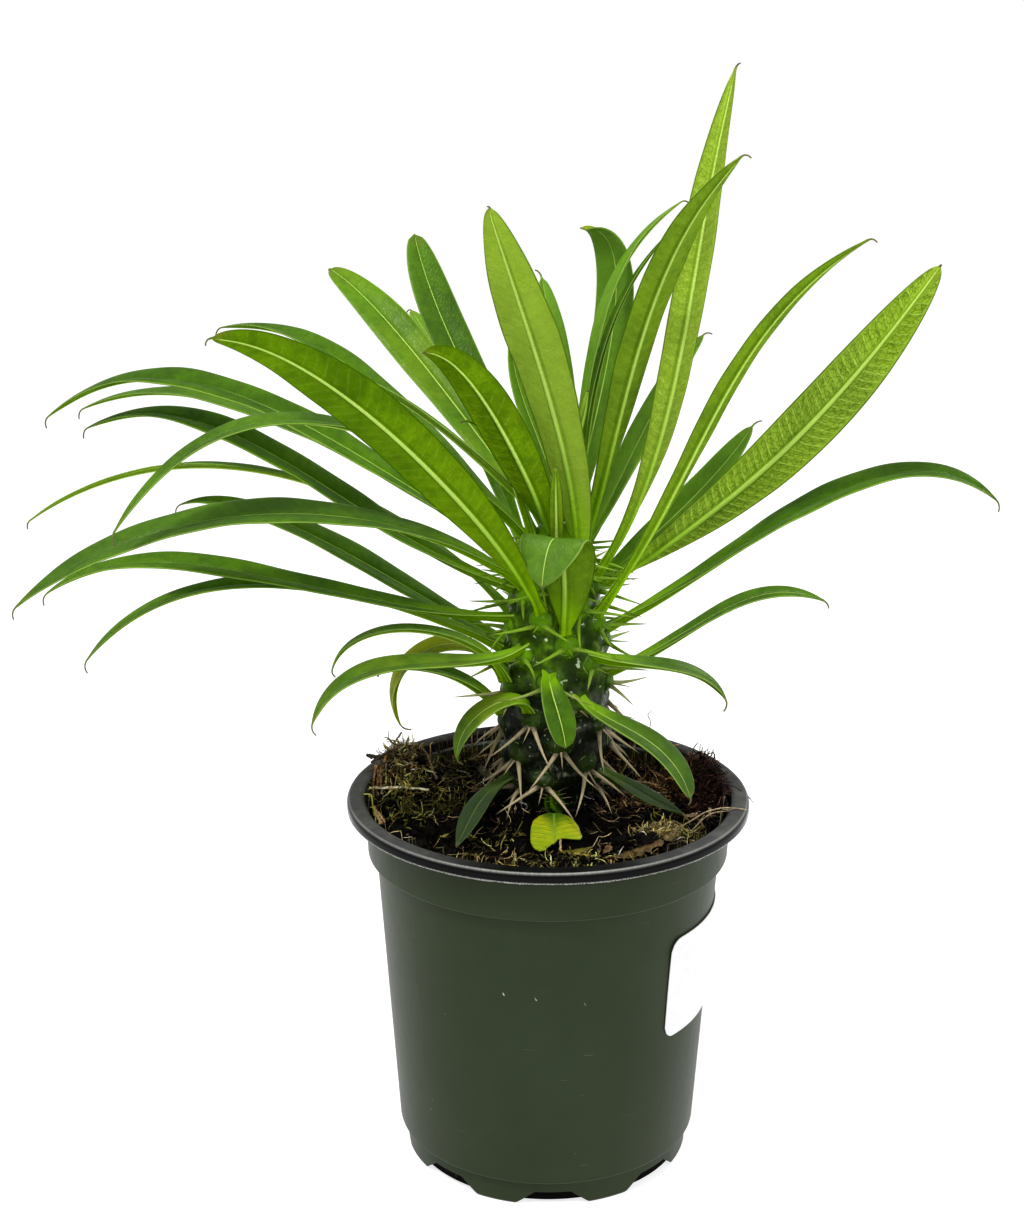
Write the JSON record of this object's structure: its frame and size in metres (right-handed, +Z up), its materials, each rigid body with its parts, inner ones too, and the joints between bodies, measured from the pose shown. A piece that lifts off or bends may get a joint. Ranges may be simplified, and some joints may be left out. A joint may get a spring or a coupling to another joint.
{
  "type": "potted madagascar palm",
  "caption": "Young Madagascar palm with a swollen spiny stem and a crown of long narrow leaves, growing in a round black-green nursery pot.",
  "frame": {"origin": "centre of the pot's flat underside, on the surface that the pot stands on", "axes": "+Z up along the pot's axis; -Y towards the viewer; +X to the viewer's right, so the label faces -Y and +X"},
  "size_m": [0.3595, 0.223, 0.4146],
  "materials": {
    "pot_plastic": "satin moulded plastic, black-green",
    "label_paper": "coated white paper, blank",
    "potting_soil": "rough damp peat",
    "stem_bark": "waxy green bark with brown spines",
    "leaf_green": "leathery leaf, satin",
    "yellowing_leaf": "leathery leaf, satin"
  },
  "bodies": {
    "root": {"pot": "pot_plastic", "label": "label_paper", "soil": "potting_soil", "stem": "stem_bark", "torn_leaf": "yellowing_leaf", "leaf_01": "leaf_green", "leaf_02": "leaf_green", "leaf_03": "leaf_green", "leaf_04": "leaf_green", "leaf_05": "leaf_green", "leaf_06": "leaf_green", "leaf_07": "leaf_green", "leaf_08": "leaf_green", "leaf_09": "leaf_green", "leaf_10": "leaf_green", "leaf_11": "leaf_green", "leaf_12": "leaf_green", "leaf_13": "leaf_green", "leaf_14": "leaf_green", "leaf_15": "leaf_green", "leaf_16": "leaf_green", "leaf_17": "leaf_green", "leaf_18": "leaf_green", "leaf_19": "leaf_green", "leaf_20": "leaf_green", "leaf_21": "leaf_green", "leaf_22": "leaf_green", "leaf_23": "leaf_green", "leaf_24": "leaf_green", "leaf_25": "leaf_green", "leaf_26": "leaf_green", "leaf_27": "leaf_green", "leaf_28": "leaf_green", "leaf_29": "leaf_green", "leaf_30": "leaf_green", "leaf_31": "leaf_green", "leaf_32": "leaf_green", "leaf_33": "leaf_green", "leaf_34": "leaf_green", "leaf_35": "leaf_green", "leaf_36": "leaf_green", "leaf_37": "leaf_green", "leaf_39": "leaf_green", "leaf_40": "leaf_green", "leaf_41": "leaf_green", "leaf_42": "leaf_green", "leaf_43": "leaf_green", "leaf_44": "leaf_green", "leaf_45": "leaf_green", "leaf_46": "leaf_green", "leaf_47": "leaf_green", "leaf_48": "leaf_green", "leaf_49": "leaf_green", "leaf_50": "leaf_green"}
  },
  "joints": []
}
